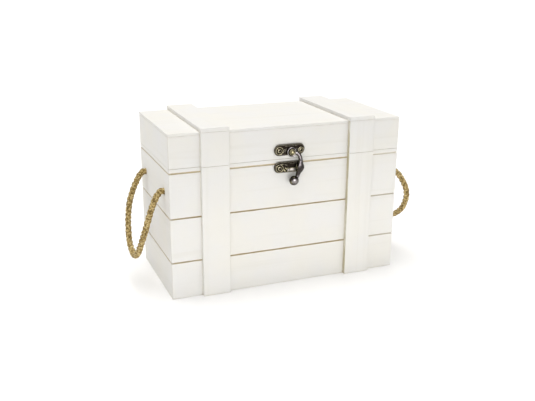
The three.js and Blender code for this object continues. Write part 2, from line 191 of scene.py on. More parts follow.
def rope_surface(line, seed):
    """Three strands laid round the line, each ridged by its yarns.

    Returns their vertices, faces and shading values, and the line's own frames.
    """
    rng = np.random.default_rng(seed)
    tangents, normals, others = carried_frames(line)
    along = np.concatenate([[0], np.cumsum(np.linalg.norm(np.diff(line, axis=0), axis=1))])
    sides = STRAND_SIDES
    round_strand = np.linspace(0, 2 * math.pi, sides, endpoint=False)
    vertices, faces, values = [], [], []
    for strand in range(3):
        turn = 2 * math.pi * (along / LAY_LENGTH + strand / 3)
        out = np.cos(turn)[:, None] * normals + np.sin(turn)[:, None] * others
        wander = np.convolve(rng.normal(0, 1, len(line) + 16), np.ones(17) / 17, "valid")
        centre = line + out * (STRAND_OFFSET * (1 + 0.1 * wander))[:, None]
        forward = unit(np.gradient(centre, axis=0))
        side = unit(np.cross(forward, out))
        swell = np.convolve(rng.normal(0, 1, len(line) + 10), np.ones(11) / 11, "valid")
        yarn_turn = (2 * math.pi * along / YARN_TURN)[:, None]
        yarns = np.cos(YARNS_IN_A_STRAND * round_strand[None] - yarn_turn)
        radius = STRAND_RADIUS * (1 + 0.1 * swell[:, None] + 0.1 * yarns)
        ring = (
            centre[:, None]
            + radius[..., None] * np.cos(round_strand)[None, :, None] * out[:, None]
            + radius[..., None] * np.sin(round_strand)[None, :, None] * side[:, None]
        )
        start = sum(len(v) for v in vertices)
        vertices.append(ring.reshape(-1, 3))
        faces += tube_faces(len(line), sides, start)
        shade = np.stack(
            [
                np.repeat(along + 0.31 * strand, sides),
                np.tile(round_strand / (2 * math.pi), len(line)) + (along / LAY_LENGTH).repeat(sides),
                (yarns.reshape(-1) + 1) / 2,
            ],
            axis=1,
        )
        values.append(shade)
    return vertices, faces, values, (along, tangents, normals, others)


def add_fuzz(vertices, faces, values, line, frames, seed):
    """Short stray fibres standing off the rope."""
    rng = np.random.default_rng(seed)
    along, tangents, normals, others = frames
    start = sum(len(v) for v in vertices)
    for _ in range(int(FUZZ_PER_METRE * along[-1])):
        i = rng.integers(3, len(line) - 3)
        angle = rng.uniform(0, 2 * math.pi)
        out = math.cos(angle) * normals[i] + math.sin(angle) * others[i]
        side = np.cross(tangents[i], out)
        lean = unit(out * rng.uniform(0.25, 0.9) + tangents[i] * rng.normal(0, 1) + side * rng.normal(0, 0.7))
        long = rng.uniform(1.2, 2.9) * MM
        root = line[i] + out * 0.4 * ROPE_DIAMETER
        droop = unit(rng.normal(0, 1, 3)) * long * 0.3
        spine = [root + lean * long * t + droop * t * t for t in (0, 0.35, 0.7, 1)]
        across = unit(np.cross(lean, out + 0.01))
        beside = np.cross(lean, across)
        ring = [
            p + FIBRE_RADIUS * (1 - 0.75 * k / 3) * (math.cos(a) * across + math.sin(a) * beside)
            for k, p in enumerate(spine)
            for a in (0, 2.1, 4.2)
        ]
        vertices.append(np.array(ring))
        faces += tube_faces(4, 3, start)
        values.append(np.tile([along[i], rng.uniform(), 1.0], (12, 1)))
        start += 12


def rope_piece(name, line, material, seed, fuzz=True):
    vertices, faces, values, frames = rope_surface(line, seed)
    if fuzz:
        add_fuzz(vertices, faces, values, line, frames, seed + 100)
    piece = new_object(name, np.vstack(vertices), faces, material)
    shading = piece.data.attributes.new("lay", "FLOAT_VECTOR", "POINT")
    shading.data.foreach_set("vector", np.vstack(values).astype(np.float32).ravel())
    return piece


def knot_line(way, y):
    """The route of an overhand knot behind the plank, from the hole to its short tail."""
    size, depth = 2.3 * MM, 2.9 * MM
    centre = Vector((way * (INNER_X - 6.5 * MM), y, HOLE_Z))
    points = [(way * (INNER_X + 2 * MM), y, HOLE_Z)]
    for t in np.linspace(0.42, 5.9, 15):
        across = size * (math.sin(t) + 2 * math.sin(2 * t))
        up = size * (math.cos(t) - 2 * math.cos(2 * t))
        inward = -depth * math.sin(3 * t)
        points.append((centre.x + way * inward, centre.y + across, centre.z + up))
    x, last_y, last_z = points[-1]
    points.append((x - way * 5 * MM, last_y + 3 * MM, last_z - 4 * MM))
    points.append((x - way * 9 * MM, last_y + 4 * MM, last_z - 10 * MM))
    return smooth_line(points, 0.8 * MM)


def handle_line(way, route):
    """From behind one hole, out, round the hanging loop and in through the other hole."""
    start = HALF_LENGTH + HANDLE_OFFSET
    half = [(0, 0, 0), *route]
    front = [(way * (start + out * MM), -HOLE_Y - along * MM, HOLE_Z + up * MM) for out, along, up in half]
    back = [(x, -y, z) for x, y, z in reversed(front[:-1])]
    inside = way * (HALF_LENGTH - ROPE_INSIDE)
    mouth = way * (HALF_LENGTH - 4 * MM)
    ends = [(inside, -HOLE_Y, HOLE_Z), (mouth, -HOLE_Y, HOLE_Z)]
    far_ends = [(x, -y, z) for x, y, z in reversed(ends)]
    return smooth_line([*ends, *front, *back, *far_ends], 0.75 * MM)


def make_ropes(material):
    for side, way, route, seed in (("left", -1, LEFT_LOOP, 3), ("right", 1, RIGHT_LOOP, 8)):
        for place, y in (("front", -HOLE_Y), ("back", HOLE_Y)):
            name = f"rope_knot_{side}_{place}"
            knot = rope_piece(name, knot_line(way, y), material, seed + 20, fuzz=False)
            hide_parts(f"rope_end_{side}_{place}")
            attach(knot, "base")
        line = handle_line(way, route)
        rope = rope_piece(f"rope_{side}", line, material, seed)
        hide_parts(f"rope_handle_{side}")
        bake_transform(rope)


# ---- materials ----------------------------------------------------------------------------------


PAINT = (0.815, 0.806, 0.782, 1)
PAINT_WARM = (0.828, 0.811, 0.757, 1)
PAINT_GRAIN = (0.748, 0.729, 0.667, 1)
BARE_WOOD = (0.5, 0.45, 0.3, 1)
# The khaki of grime and painted shade in the wood's crevices.
CREVICE = (0.6, 0.53, 0.38, 1)
WOOD_LIGHT = (0.66, 0.50, 0.31, 1)
WOOD_DARK = (0.52, 0.36, 0.2, 1)
GROOVE_BROWN = (0.6, 0.505, 0.33, 1)
GROOVE_PALE = (0.7, 0.63, 0.48, 1)
GROOVE_DEEP = (0.4, 0.315, 0.185, 1)
JUTE = (0.5, 0.355, 0.115, 1)
JUTE_PALE = (0.83, 0.665, 0.325, 1)
JUTE_DARK = (0.275, 0.175, 0.042, 1)
JUTE_DEEP = (0.07, 0.043, 0.009, 1)
BRONZE = (0.115, 0.104, 0.078, 1)
# The arm's front-facing grey, the lit side of its painted light and shade.
BRONZE_FACING_OUT = (0.095, 0.087, 0.086, 1)
STEEL = (0.31, 0.29, 0.28, 1)
BRONZE_BLACK = (0.014, 0.011, 0.008, 1)
BRASS = (0.225, 0.2, 0.11, 1)
BRASS_BRIGHT = (0.43, 0.39, 0.26, 1)
PEWTER = (0.2, 0.186, 0.172, 1)

# Where the paint fills the front's grooves, along the chest, and on its ends.
FILL_FROM, FILL_TO = 60 * MM, 105 * MM
END_FROM, END_TO = 122 * MM, 124 * MM
# How far parts of the latch arm are from its pivot: the eye's ring, the dark neck and the ball with its
# painted highlight.
RING_IN, RING_OUT = (3.6 * MM, 4.0 * MM), (5.3 * MM, 4.9 * MM)
NECK_IN, NECK_OUT = (12.5 * MM, 20 * MM), (25 * MM, 24 * MM)
BALL_IN = (25.5 * MM, 27.5 * MM)


class Shader:
    """A material's nodes. Inputs are numbers, colours or other nodes' sockets."""

    def __init__(self, name):
        self.material = bpy.data.materials.new(name)
        self.material.use_nodes = True
        self.tree = self.material.node_tree
        self.surface = self.tree.nodes["Principled BSDF"]

    def node(self, kind, settings=None, **inputs):
        node = self.tree.nodes.new(f"ShaderNode{kind}")
        for key, value in (settings or {}).items():
            setattr(node, key, value)
        for key, value in inputs.items():
            self.feed(node, key, value)
        return node

    def feed(self, node, key, value):
        name = key.replace("_", " ")
        self.put(next(s for s in node.inputs if s.enabled and s.name.lower() == name.lower()), value)

    def put(self, socket, value):
        if isinstance(value, bpy.types.NodeSocket):
            self.tree.links.new(value, socket)
        else:
            socket.default_value = value

    def finish(self, **inputs):
        for key, value in inputs.items():
            self.feed(self.surface, key, value)
        return self.material

    def math(self, operation, *values):
        node = self.node("Math", {"operation": operation})
        for socket, value in zip(node.inputs, values):
            self.put(socket, value)
        return node.outputs[0]

    def ramp(self, value, low, high, to_low=0.0, to_high=1.0):
        """The value eased from to_low to to_high between low and high."""
        settings = {"interpolation_type": "SMOOTHSTEP"}
        inputs = {"Value": value, "From_Min": low, "From_Max": high, "To_Min": to_low, "To_Max": to_high}
        return self.node("MapRange", settings, **inputs).outputs["Result"]

    def mix(self, amount, a, b):
        node = self.node("Mix", {"data_type": "RGBA"})
        for index, value in ((0, amount), (6, a), (7, b)):
            self.put(node.inputs[index], value)
        return node.outputs[2]

    def noise(self, vector, scale, detail, roughness=0.55, distortion=0.0):
        inputs = {"Scale": scale, "Detail": detail, "Roughness": roughness, "Distortion": distortion}
        return self.node("TexNoise", None, Vector=vector, **inputs).outputs["Fac"]

    def stretched(self, vector, scale):
        return self.node("Mapping", None, Vector=vector, Scale=scale).outputs["Vector"]

    def bump(self, height, strength, distance, normal=None):
        inputs = {"Height": height, "Strength": strength, "Distance": distance}
        if normal is not None:
            inputs["Normal"] = normal
        return self.node("Bump", None, **inputs).outputs["Normal"]


def painted_wood(name, grain, grooved=False, inside=True, bare_edge=False):
    """White satin paint over wood whose grain runs along one axis.

    Brown shows in the grooves, and inside the box the paint is thin.
    """
    s = Shader(name)
    coordinates = s.node("TexCoord")
    place = coordinates.outputs["Object"]
    xyz = s.node("SeparateXYZ", None, Vector=place)
    x, y, z = (xyz.outputs[k] for k in "XYZ")
    fine = [1.0, 1.0, 1.0]
    fine["XYZ".index(grain)] = 0.035
    streaks = s.noise(s.stretched(place, fine), 620, 4, 0.6)
    figure = s.noise(s.stretched(place, fine), 130, 3, 0.5, 0.6)
    cloud = s.noise(place, 24, 3)
    mottle = s.noise(place, 260, 3)
    white = s.mix(s.ramp(cloud, 0.3, 0.7), PAINT, PAINT_WARM)
    white = s.mix(s.math("MULTIPLY", s.ramp(figure, 0.5, 0.72), 0.28), white, PAINT_GRAIN)
    white = s.mix(s.math("MULTIPLY", s.ramp(mottle, 0.56, 0.75), 0.1), white, PAINT_GRAIN)
    # Grime and painted shade: a khaki tint darkens the paint where ambient occlusion is high, in crevices and
    # where battens meet boards.
    crevice = s.node("AmbientOcclusion", {"samples": 6}, Distance=3.5 * MM).outputs["AO"]
    patchy = s.ramp(s.noise(place, 60, 3), 0.3, 0.6, 0.45, 1.0)
    crevice_grime_and_shade = s.math("MULTIPLY", s.ramp(crevice, 0.72, 0.2, 0.0, 0.75), patchy)
    white = s.mix(crevice_grime_and_shade, white, CREVICE)
    if bare_edge:
        towards_left = s.node("SeparateXYZ", None, Vector=coordinates.outputs["Normal"]).outputs["X"]
        rubbed = s.ramp(s.noise(place, 35, 4), 0.3, 0.6, 0.35, 0.95)
        white = s.mix(s.math("MULTIPLY", s.ramp(towards_left, -0.5, -0.85), rubbed), white, BARE_WOOD)
    rough = s.ramp(streaks, 0.3, 0.7, 0.48, 0.6)
    height = s.math("ADD", s.math("MULTIPLY", streaks, 0.6), s.math("MULTIPLY", figure, 0.8))
    if inside:
        wood = s.mix(s.ramp(figure, 0.35, 0.65), WOOD_LIGHT, WOOD_DARK)
        within_x = s.math("LESS_THAN", s.math("ABSOLUTE", x), INNER_X + 0.2 * MM)
        within_y = s.math("LESS_THAN", s.math("ABSOLUTE", y), INNER_Y + 0.2 * MM)
        under_lid = s.math("LESS_THAN", z, LID_LOW.z + 0.3 * MM)
        hidden = s.math("MULTIPLY", s.math("MULTIPLY", within_x, within_y), under_lid)
        thin = s.ramp(streaks, 0.3, 0.7, 0.38, 0.62)
        white = s.mix(s.math("MULTIPLY", hidden, thin), white, wood)
    if grooved:
        nearest = None
        for level in GROOVE_HEIGHTS:
            away = s.math("ABSOLUTE", s.math("SUBTRACT", z, level))
            nearest = away if nearest is None else s.math("MINIMUM", nearest, away)
        ragged = s.math("MULTIPLY", s.math("SUBTRACT", s.noise(place, 160, 4), 0.5), 0.9 * MM)
        edge = s.math("ADD", nearest, ragged)
        in_groove = s.ramp(edge, 0.75 * GROOVE_HALF, 1.2 * GROOVE_HALF, 1.0, 0.0)
        brown = s.mix(s.ramp(s.noise(place, 46, 3), 0.35, 0.7), GROOVE_BROWN, GROOVE_PALE)
        # Painted shade: the middle of each groove, its floor, is darkened towards GROOVE_DEEP.
        brown = s.mix(s.ramp(nearest, 0.7 * GROOVE_HALF, 0.2 * GROOVE_HALF, 0.0, 0.6), brown, GROOVE_DEEP)
        # The paint fills the grooves more on the ends and towards the right.
        to_the_right = s.ramp(x, FILL_FROM, FILL_TO, 0.0, 0.7)
        on_the_ends = s.ramp(s.math("ABSOLUTE", x), END_FROM, END_TO, 0.0, 0.4)
        brown = s.mix(s.math("MAXIMUM", to_the_right, on_the_ends), brown, PAINT_GRAIN)
        white = s.mix(in_groove, white, brown)
    normal = s.bump(height, 0.16, 0.25 * MM)
    return s.finish(Base_Color=white, Roughness=rough, Normal=normal, Specular_IOR_Level=0.15)


def jute(name):
    """Twisted jute: golden fibres with flecks and a soft sheen, and painted shade between the yarns."""
    s = Shader(name)
    lay = s.node("Attribute", {"attribute_name": "lay"})
    parts = s.node("SeparateXYZ", None, Vector=lay.outputs["Vector"])
    along, around, yarn = (parts.outputs[k] for k in "XYZ")
    drawn_out = (s.math("MULTIPLY", along, 420), s.math("MULTIPLY", around, 22))
    fibre_place = s.node("CombineXYZ", None, X=drawn_out[0], Y=drawn_out[1], Z=0.0)
    fibres = s.noise(fibre_place.outputs[0], 1.0, 4, 0.65)
    flecks = s.noise(s.node("TexCoord").outputs["Object"], 520, 2, 0.5)
    patches = s.noise(s.node("TexCoord").outputs["Object"], 75, 2)
    colour = s.mix(s.ramp(fibres, 0.36, 0.62), JUTE_DARK, JUTE)
    colour = s.mix(s.math("MULTIPLY", s.ramp(flecks, 0.5, 0.6), 0.85), colour, JUTE_PALE)
    colour = s.mix(s.math("MULTIPLY", s.ramp(flecks, 0.47, 0.37), 0.7), colour, JUTE_DEEP)
    colour = s.mix(s.ramp(patches, 0.4, 0.65, 0.05, 0.2), colour, JUTE_DARK)
    # Painted shade: the valleys between the yarns are darkened towards JUTE_DEEP.
    colour = s.mix(s.ramp(yarn, 0.4, 0.0, 0.0, 0.45), colour, JUTE_DEEP)
    normal = s.bump(fibres, 0.7, 0.3 * MM)
    normal = s.bump(flecks, 0.4, 0.25 * MM, normal)
    gloss = {"Roughness": 0.85, "Specular_IOR_Level": 0.25, "Sheen_Weight": 0.25, "Sheen_Roughness": 0.5}
    return s.finish(Base_Color=colour, Normal=normal, **gloss)


def bronze(name, cast):
    """Antique bronze: black in its hollows, grey where smooth, brass on rubbed ridges; painted shade by the
    wood.
    """
    s = Shader(name)
    place = s.node("TexCoord").outputs["Object"]
    patina = s.noise(place, 520, 4, 0.6)
    tarnish = s.noise(place, 1700, 3, 0.6)
    crevice = s.node("AmbientOcclusion", {"samples": 8}, Distance=1.6 * MM).outputs["AO"]
    if cast:
        worn = s.node("Attribute", {"attribute_name": "finish"}).outputs["Fac"]
    else:
        worn = 1.0
    jitter = s.math("MULTIPLY", s.math("SUBTRACT", patina, 0.5), 0.8)
    worn = s.math("ADD", worn, jitter)
    colour = s.mix(s.ramp(worn, 0.2, 0.95), BRONZE_BLACK, BRONZE)
    colour = s.mix(s.ramp(worn, 1.15, 1.85, 0.0, 0.9), colour, BRASS)
    colour = s.mix(s.ramp(worn, 2.1, 2.5, 0.0, 0.9), colour, BRASS_BRIGHT)
    colour = s.mix(s.ramp(worn, 2.8, 3.1, 0.0, 0.95), colour, PEWTER)
    # Darkened where ambient occlusion is high: patina in the casting's own hollows, and painted shade where
    # the metal meets the wood.
    colour = s.mix(s.ramp(crevice, 0.8, 0.35, 0.0, 0.9), colour, BRONZE_BLACK)
    rough = s.ramp(tarnish, 0.3, 0.7, 0.22, 0.4)
    normal = s.bump(tarnish, 0.25, 0.06 * MM)
    return s.finish(Base_Color=colour, Metallic=1.0, Roughness=rough, Normal=normal)


def rounded_bronze(name):
    """The arm's bronze: painted light and shade, grey where it faces out and dark at its sides; brass flecks
    at the turn.
    """
    s = Shader(name)
    coordinates = s.node("TexCoord")
    place = coordinates.outputs["Object"]
    patina = s.noise(place, 480, 4, 0.6)
    tarnish = s.noise(place, 1700, 3, 0.6)
    facing = s.node("SeparateXYZ", None, Vector=coordinates.outputs["Normal"]).outputs["Y"]
    uneven = s.math("MULTIPLY", s.math("SUBTRACT", patina, 0.5), 0.5)
    facing = s.math("ADD", s.math("MULTIPLY", facing, -1.0), uneven)
    # Painted light and shade: the sides that turn away from the front go near black, and the front-facing
    # middle is grey.
    colour = s.mix(s.ramp(facing, 0.55, 1.12), BRONZE_BLACK, BRONZE_FACING_OUT)
    pivot = middle_of("latch_rivet")
    from_pivot = s.node("VectorMath", {"operation": "DISTANCE"})
    s.put(from_pivot.inputs[0], s.stretched(place, [1.0, 0.0, 1.0]))
    s.put(from_pivot.inputs[1], (pivot.x, 0, pivot.z))
    reach = from_pivot.outputs["Value"]
    ring = s.math("MULTIPLY", s.ramp(reach, *RING_IN), s.ramp(reach, *RING_OUT))
    colour = s.mix(s.math("MULTIPLY", ring, s.ramp(patina, 0.38, 0.55, 0.2, 0.7)), colour, STEEL)
    neck = s.math("MULTIPLY", s.ramp(reach, *NECK_IN), s.ramp(reach, *NECK_OUT))
    colour = s.mix(s.math("MULTIPLY", neck, 0.7), colour, BRONZE_BLACK)
    # A painted highlight: the knob's front is mixed towards steel grey, which widens its bright patch; partly
    # a polished face.
    ball = s.math("MULTIPLY", s.ramp(reach, *BALL_IN), s.ramp(facing, 0.3, 0.9))
    colour = s.mix(s.math("MULTIPLY", ball, s.ramp(patina, 0.35, 0.6, 0.15, 0.45)), colour, STEEL)
    turn = s.math("MULTIPLY", s.ramp(facing, 0.3, 0.55), s.ramp(facing, 0.8, 0.6))
    colour = s.mix(s.math("MULTIPLY", turn, s.ramp(patina, 0.46, 0.62)), colour, BRASS)
    crevice = s.node("AmbientOcclusion", {"samples": 8}, Distance=1.6 * MM).outputs["AO"]
    # Darkened where ambient occlusion is high: painted shade where the arm lies close to the horn, plate and
    # wood, and patina in its hollows.
    colour = s.mix(s.ramp(crevice, 0.8, 0.35, 0.0, 0.9), colour, BRONZE_BLACK)
    rough = s.math("ADD", s.ramp(tarnish, 0.3, 0.7, 0.14, 0.24), s.math("MULTIPLY", ball, 0.12))
    normal = s.bump(tarnish, 0.15, 0.05 * MM)
    return s.finish(Base_Color=colour, Metallic=1.0, Roughness=rough, Normal=normal)


# ---- wood ---------------------------------------------------------------------------------------


# How far each kind of board's edges are rounded. The battens are already chamfered in the CAD.
BATTEN_EASE = 0.2 * MM
PLANK_EASE = 0.3 * MM
BOARD_EASE = 0.15 * MM
PANEL_EASE = 0.3 * MM
LEAF_EASE = 0.12 * MM
CORNER_BEAD = 0.9 * MM


def ease_edges(node, width):
    """Rounds a CAD node's sharp edges with modifiers."""
    piece = NODES[node]
    weld = piece.modifiers.new("weld", "WELD")
    weld.merge_threshold = 0.002 * MM
    bevel = piece.modifiers.new("ease", "BEVEL")
    bevel.width = width
    bevel.segments = 2
    bevel.limit_method = "ANGLE"
    bevel.angle_limit = math.radians(25)
    bevel.use_clamp_overlap = True
    bevel.harden_normals = False
    normals = piece.modifiers.new("normals", "WEIGHTED_NORMAL")
    normals.keep_sharp = False
    normals.weight = 100
    for polygon in piece.data.polygons:
        polygon.use_smooth = True


def finish_wood():
    along_x = painted_wood("paint_along_x", "X", grooved=True)
    along_y = painted_wood("paint_along_y", "Y", grooved=True)
    plain_x = painted_wood("paint_panel", "X")
    batten_z = painted_wood("paint_batten_upright", "Z", inside=False)
    bare_batten_z = painted_wood("paint_batten_bare_edge", "Z", inside=False, bare_edge=True)
    batten_y = painted_wood("paint_batten_top", "Y", inside=False)
    for name, piece in NODES.items():
        if "batten" in name:
            upright = bare_batten_z if "right" in name and "back" not in name else batten_z
            piece.data.materials[0] = batten_y if "_top_" in name else upright
            ease_edges(name, BATTEN_EASE)
        elif name.endswith("_plank"):
            piece.data.materials[0] = along_y if name.startswith(("left", "right")) else along_x
            ease_edges(name, PLANK_EASE)
        elif name.endswith("_board"):
            piece.data.materials[0] = along_y if "left" in name or "right" in name else along_x
            ease_edges(name, BOARD_EASE)
        elif name.endswith("_panel"):
            piece.data.materials[0] = plain_x
            ease_edges(name, PANEL_EASE)
    finish_corners(batten_z)


def corner_paint(name, body, spans, material):
    """The paint over the mitred corners: a slim rounded bead up each, broken at the grooves."""
    radius = CORNER_BEAD
    steps = 8
    parts = []
    for sign_x in (-1, 1):
        for sign_y in (-1, 1):
            middle_x = sign_x * (HALF_LENGTH - radius)
            middle_y = sign_y * (HALF_DEPTH - radius)
            outline = [(middle_x - sign_x * radius, middle_y - sign_y * radius)]
            for i in range(steps + 1):
                a = math.pi / 2 * i / steps
                across, up = sign_x * radius * math.sin(a), sign_y * radius * math.cos(a)
                outline.append((middle_x + across, middle_y + up))
            if sign_x * sign_y > 0:
                outline.reverse()
            for low, high in spans:
                vertices = [(x, y, z) for z in (low, high) for x, y in outline]
                parts.append((vertices, tube_faces(2, len(outline))))
    vertices, faces = [], []
    for shell_vertices, shell_faces in parts:
        start = len(vertices)
        vertices += shell_vertices
        faces += [tuple(start + i for i in face) for face in shell_faces]
    piece = new_object(name, vertices, faces, material)
    for polygon in piece.data.polygons:
        polygon.use_smooth = len(polygon.vertices) == 4
    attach(piece, body)


def finish_corners(material):
    edges = [0.3 * MM]
    for level in GROOVE_HEIGHTS:
        edges += [level - GROOVE_HALF, level + GROOVE_HALF]
    edges.append(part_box("front_upper_plank")[1].z - 0.25 * MM)
    corner_paint("base_corner_paint", "base", list(zip(edges[::2], edges[1::2])), material)
    low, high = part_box("lid_front_board")
    corner_paint("lid_corner_paint", "lid", [(low.z + 0.25 * MM, high.z)], material)


# ---- latch and hinges ---------------------------------------------------------------------------
# Each shell is (vertices, faces, finish). The finish says how worn the casting is there: 0 is a dark
# hollow, 1 the smooth metal, 2 a ridge rubbed down to the brass, 2.6 its brightest line, and 3 the
# polished grey of the horn's crest, which is partly a painted highlight.
METAL_SMOOTH = 1.0
RING_RIDGE = 2.65
HORN_TOP = 3.4


def joined(name, shells, material, body, replaced):
    """One bronze piece from several shells, which keeps each one's finish as a point attribute."""
    vertices, faces, finish = [], [], []
    for shell_vertices, shell_faces, shell_finish in shells:
        start = len(vertices)
        vertices += [tuple(v) for v in shell_vertices]
        faces += [tuple(start + i for i in face) for face in shell_faces]
        finish += list(np.broadcast_to(shell_finish, len(shell_vertices)))
    piece = new_object(name, vertices, faces, material)
    worn = piece.data.attributes.new("finish", "FLOAT", "POINT")
    worn.data.foreach_set("value", np.array(finish, np.float32))
    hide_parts(replaced)
    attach(piece, body)
    return piece


def ring_faces(rings, sides):
    """Faces of a surface that closes on itself both ways."""
    faces = []
    for i in range(rings):
        for j in range(sides):
            a, b = i * sides + j, i * sides + (j + 1) % sides
            c, d = (i + 1) % rings * sides + (j + 1) % sides, (i + 1) % rings * sides + j
            faces.append((a, b, c, d))
    return faces


def flipped(faces):
    return [tuple(reversed(face)) for face in faces]


def stadium_outline(width, height, inset, steps=24):
    """Points round a plate with half-round ends, as (x, z) about its centre."""
    radius = height / 2 - inset
    reach = (width - height) / 2
    turns = np.linspace(-math.pi / 2, math.pi / 2, steps + 1)
    right = [(reach + radius * math.cos(a), radius * math.sin(a)) for a in turns]
    left = [(-reach - radius * math.cos(a), -radius * math.sin(a)) for a in turns]
    return right + left


def cast_plate(centre, width, height, steps):
    """A plate built up from rings. Each step is (inset from the edge, height off the wood, finish)."""
    x, y, z = centre
    vertices, finish = [], []
    for inset, rise, worn in steps:
        outline = stadium_outline(width, height, inset * MM)
        vertices += [(x + u, y - rise * MM, z + v) for u, v in outline]
        finish += [worn] * len(outline)
    return vertices, flipped(tube_faces(len(steps), len(outline))), finish


def lathe_out(centre, steps, sides=36):
    """A turned shape whose axis points out of the front: each step is (radius, height, finish) in mm."""
    x, y, z = centre
    vertices, finish = [], []
    for radius, rise, worn in steps:
        for j in range(sides):
            a = 2 * math.pi * j / sides
            place = (x + radius * MM * math.cos(a), y - rise * MM, z + radius * MM * math.sin(a))
            vertices.append(place)
        finish += [worn] * sides
    return vertices, flipped(tube_faces(len(steps), sides)), finish


def raised_ring(centre, radius, width, height, sides=40):
    """A turned ring with a narrow rubbed back, sunk a little into the plate."""
    arch = []
    for i in range(10):
        a = math.pi * (1.12 - 1.24 * i / 9)
        worn = RING_RIDGE * max(math.sin(a), 0) ** 4
        arch.append((radius + width / 2 * math.cos(a), height * math.sin(a), worn))
    vertices, _, finish = lathe_out(centre, arch, sides)
    return vertices, ring_faces(len(arch), sides), finish


def leaf(centre, radii, tilt, top, rows=12, sides=16):
    """A raised leaf or rib: an ellipsoid with its three radii in mm, tilted in the plane of the plate."""
    x, y, z = centre
    vertices, finish = [], []
    for i in range(rows + 1):
        a = math.pi * (0.02 + 0.96 * i / rows)
        for j in range(sides):
            b = 2 * math.pi * j / sides
            u = radii[0] * math.cos(a)
            v = radii[1] * math.sin(a) * math.cos(b)
            out = radii[2] * math.sin(a) * math.sin(b)
            across = u * math.cos(tilt) - v * math.sin(tilt)
            up = u * math.sin(tilt) + v * math.cos(tilt)
            vertices.append((x + across * MM, y - out * MM, z + up * MM))
            finish.append(top * max(out / radii[2], 0) ** 1.3)
    return vertices, flipped(tube_faces(rows + 1, sides)), finish


def corded_border(centre, width, height, inset, radius):
    """The ridge round a plate, with the slant of a twisted cord."""
    x, y, z = centre
    outline = np.array([(u, 0, v) for u, v in stadium_outline(width, height, inset * MM)])
    line = evenly(np.vstack([outline, outline[:1]]), 0.24 * MM)[:-1]
    count, sides = len(line), 12
    beads = 2 * math.pi * np.arange(count) / count * round(count * 0.24 / 1.5)
    forward = unit(np.roll(line, -1, axis=0) - np.roll(line, 1, axis=0))
    outward = np.array([0.0, -1.0, 0.0])
    side = np.cross(forward, outward)
    around = np.linspace(0, 2 * math.pi, sides, endpoint=False)
    swell = 1 + 0.2 * np.cos(beads[:, None] + around[None] * 2)
    across = (radius * MM * swell * np.cos(around))[..., None] * side[:, None]
    rise = (radius * MM * swell * np.sin(around))[..., None] * outward
    ring = line[:, None] + across + rise + np.array([x, y, z])
    worn = np.clip(np.sin(around)[None] * (0.7 + 0.9 * np.cos(beads[:, None] + around[None] * 2)), 0, 1.6)
    return ring.reshape(-1, 3), ring_faces(count, sides), worn.reshape(-1)


# The radius of the boss round each plate's left and right screw, in mm.
BOSS_RADII = {"latch_plate": (3.8, 3.0), "catch_plate": (3.8, 3.2)}


def make_plate(node, screws, body, extras, material):
    """A cast plate with a corded border, a pebbled field, and a ringed boss round each screw."""
    low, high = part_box(node)
    width, height = high.x - low.x, high.z - low.z
    centre = ((low.x + high.x) / 2, high.y, (low.z + high.z) / 2)
    steps = (
        (0.3, 0, 0.2), (0.08, 0.15, 0.3), (0, 0.4, 0.5), (0.12, 0.75, 0.6), (0.35, 0.85, 0.6),
        (0.9, 0.8, 0.2), (1.2, 0.55, 0), (2.4, 0.5, 0), (4, 0.5, 0), (height / 2 / MM - 0.4, 0.5, 0),
    )
    shells = [cast_plate(centre, width, height, steps)]
    shells.append(corded_border((centre[0], centre[1] - 0.85 * MM, centre[2]), width, height, 0.75, 0.5))
    for screw, radius in zip(screws, BOSS_RADII[node]):
        middle = middle_of(screw)
        seat = (middle.x, high.y - 0.5 * MM, middle.z)
        shells.append(raised_ring(seat, radius, 0.95, 0.75))
    return joined(f"{node}_cast", shells + extras, material, body, node)


def latch_plate_scrolls():
    """Ribs that fan out on both sides of the rivet, and a row of four small leaves along the top."""
    _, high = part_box("latch_plate")
    rivet = middle_of("latch_rivet")
    face = high.y - 0.55 * MM
    shells = []
    for offset, tilt, long in ((-6.3, 1.25, 2.9), (-7.6, 1.2, 2.6), (6.6, -1.1, 2.6), (7.9, -1.15, 2.2)):
        shells.append(leaf((rivet.x + offset * MM, face, rivet.z + 1.6 * MM), (long, 0.5, 0.75), tilt, 1.2))
    for offset in (-5.2, -1.7, 1.8, 5.3):
        shells.append(leaf((rivet.x + offset * MM, face, high.z - 2.0 * MM), (1.9, 0.42, 0.55), 0.05, 1.1))
    return shells


def catch_plate_relief():
    """The horn that the arm hooks over, with leaves between it and the left screw, and three small ones along
    the top.
    """
    low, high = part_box("catch_plate")
    screw = middle_of("catch_screw_left")
    face = high.y - 0.5 * MM
    horn_z = low.z + 2.75 * MM
    shells = [horn(low.x + 13.6 * MM, face, horn_z)]
    leaves = (
        (5.2, -2.3, -0.85, (2.9, 0.95, 1.5), 2.6), (7.2, -0.8, -0.8, (2.7, 0.9, 1.5), 2.5),
        (2.5, 4.2, 0.12, (3.4, 0.9, 1.5), 1.5), (7.2, 3.2, -0.5, (2.2, 0.8, 1.2), 1.3),
    )
    for across, up, tilt, radii, top in leaves:
        place = (screw.x + across * MM, face, screw.z + up * MM)
        shells.append(leaf(place, radii, tilt, top))
    for across in (12.5, 15.5, 18.5):
        shells.append(leaf((screw.x + across * MM, face, high.z - 2.3 * MM), (1.7, 0.4, 0.5), 0.0, 0.9))
    return shells


